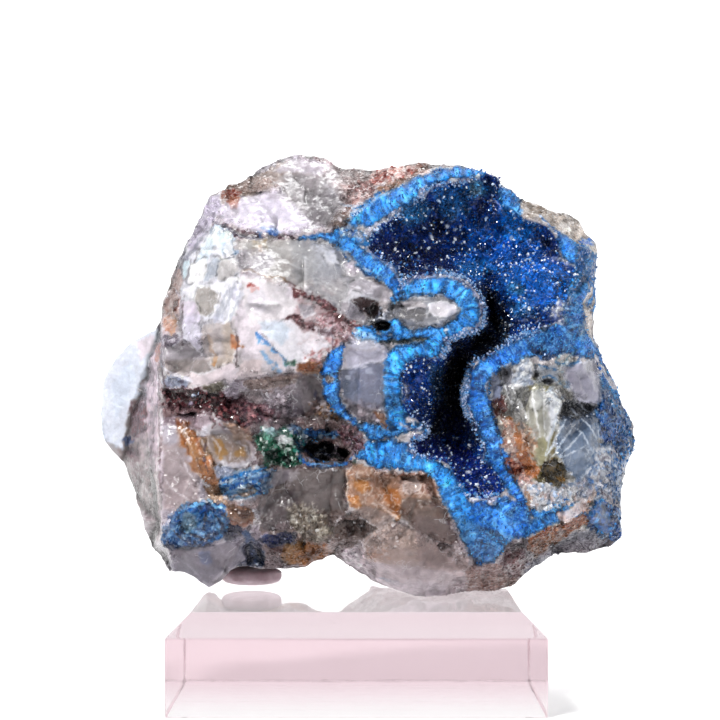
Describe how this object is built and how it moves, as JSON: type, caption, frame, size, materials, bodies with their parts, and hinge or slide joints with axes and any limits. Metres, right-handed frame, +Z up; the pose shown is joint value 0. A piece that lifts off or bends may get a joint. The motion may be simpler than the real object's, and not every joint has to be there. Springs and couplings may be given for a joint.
{
  "type": "shattuckite specimen on a clear block",
  "caption": "Broken quartz stone with a blue fibrous rim round a drusy pocket, standing on a clear bevelled display block.",
  "frame": {"origin": "middle of the clear block's underside", "axes": "+Z up out of the block, -Y towards the side with the drusy pocket, +X to the right as the pocket is looked at"},
  "size_m": [0.0541, 0.0367, 0.0537],
  "materials": {
    "quartz_matrix": "broken milky and smoky quartz, vitreous to frosted, with iron stain",
    "shattuckite": "azure fibrous crust, silky",
    "druse": "deep blue lining under fine sparkling quartz crystals",
    "clear_acrylic": "polished clear",
    "mounting_putty": "soft translucent putty"
  },
  "bodies": {
    "root": {"specimen": "quartz_matrix", "display_block": "clear_acrylic", "mounting_putty": "mounting_putty"}
  },
  "joints": []
}
